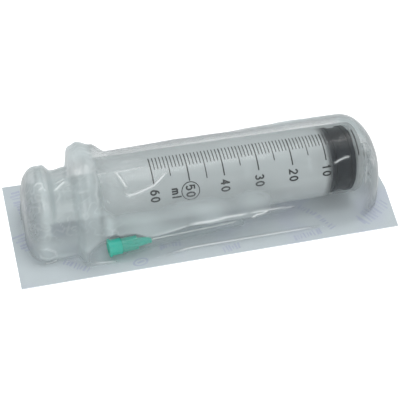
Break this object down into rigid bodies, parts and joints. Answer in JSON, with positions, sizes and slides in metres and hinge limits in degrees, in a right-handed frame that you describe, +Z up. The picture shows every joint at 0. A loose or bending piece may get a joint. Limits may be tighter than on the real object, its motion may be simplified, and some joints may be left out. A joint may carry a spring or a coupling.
{
  "type": "luer lock syringe",
  "caption": "Large luer lock syringe with a separate sheathed needle, lying in the sealed peel pack of backing paper and clear formed film it is supplied in.",
  "frame": {"origin": "centre of the backing paper's underside", "axes": "+X along the syringe from its thumb press to its nozzle, +Z up from the paper through the syringe, and +Y away from the side that the needle lies on"},
  "size_m": [0.17, 0.06, 0.0391],
  "materials": {
    "paper": "coated medical paper with a pale printed pattern",
    "film": "clear, glossy and wrinkled",
    "barrel": "milky and translucent",
    "ink": "dark printed ink",
    "stopper": "moulded, faintly oily",
    "rod": "milky and translucent",
    "hub": "tinted green and translucent",
    "steel": "drawn and polished",
    "glue": "clear cured resin",
    "sheath": "clear, smooth"
  },
  "bodies": {
    "pack": {"paper_backing": "paper"},
    "film": {"blister_film": "film"},
    "syringe": {"barrel": "barrel", "scale_ticks": "ink", "scale_numerals": "ink"},
    "stopper": {"stopper": "stopper"},
    "rod": {"plunger_rod": "rod"},
    "needle": {"needle_hub": "hub", "needle_tube": "steel", "needle_glue": "glue"},
    "sheath": {"needle_sheath": "sheath"}
  },
  "joints": [
    {"name": "film_peel", "type": "hinge", "parent": "pack", "child": "film", "pos_m": [0, 0.03, 0.0004], "axis": [-1, 0, 0], "range_deg": [0, 110], "deforming": ["blister_film"]},
    {"name": "syringe_lift", "type": "slide", "parent": "pack", "child": "syringe", "axis": [0, 0, 1], "range_m": [0, 0.07]},
    {"name": "plunger_slide", "type": "slide", "parent": "syringe", "child": "stopper", "axis": [-1, 0, 0], "range_m": [-0.00105, 0.094]},
    {"name": "plunger_spin", "type": "hinge", "parent": "stopper", "child": "rod", "pos_m": [0, 0, 0.01755], "axis": [1, 0, 0], "continuous": true},
    {"name": "needle_lift", "type": "slide", "parent": "pack", "child": "needle", "axis": [0, -0.7071, 0.7071], "range_m": [0, 0.07]},
    {"name": "sheath_pull", "type": "slide", "parent": "needle", "child": "sheath", "axis": [0.999, 0.0384, 0.0227], "range_m": [0, 0.055]}
  ]
}
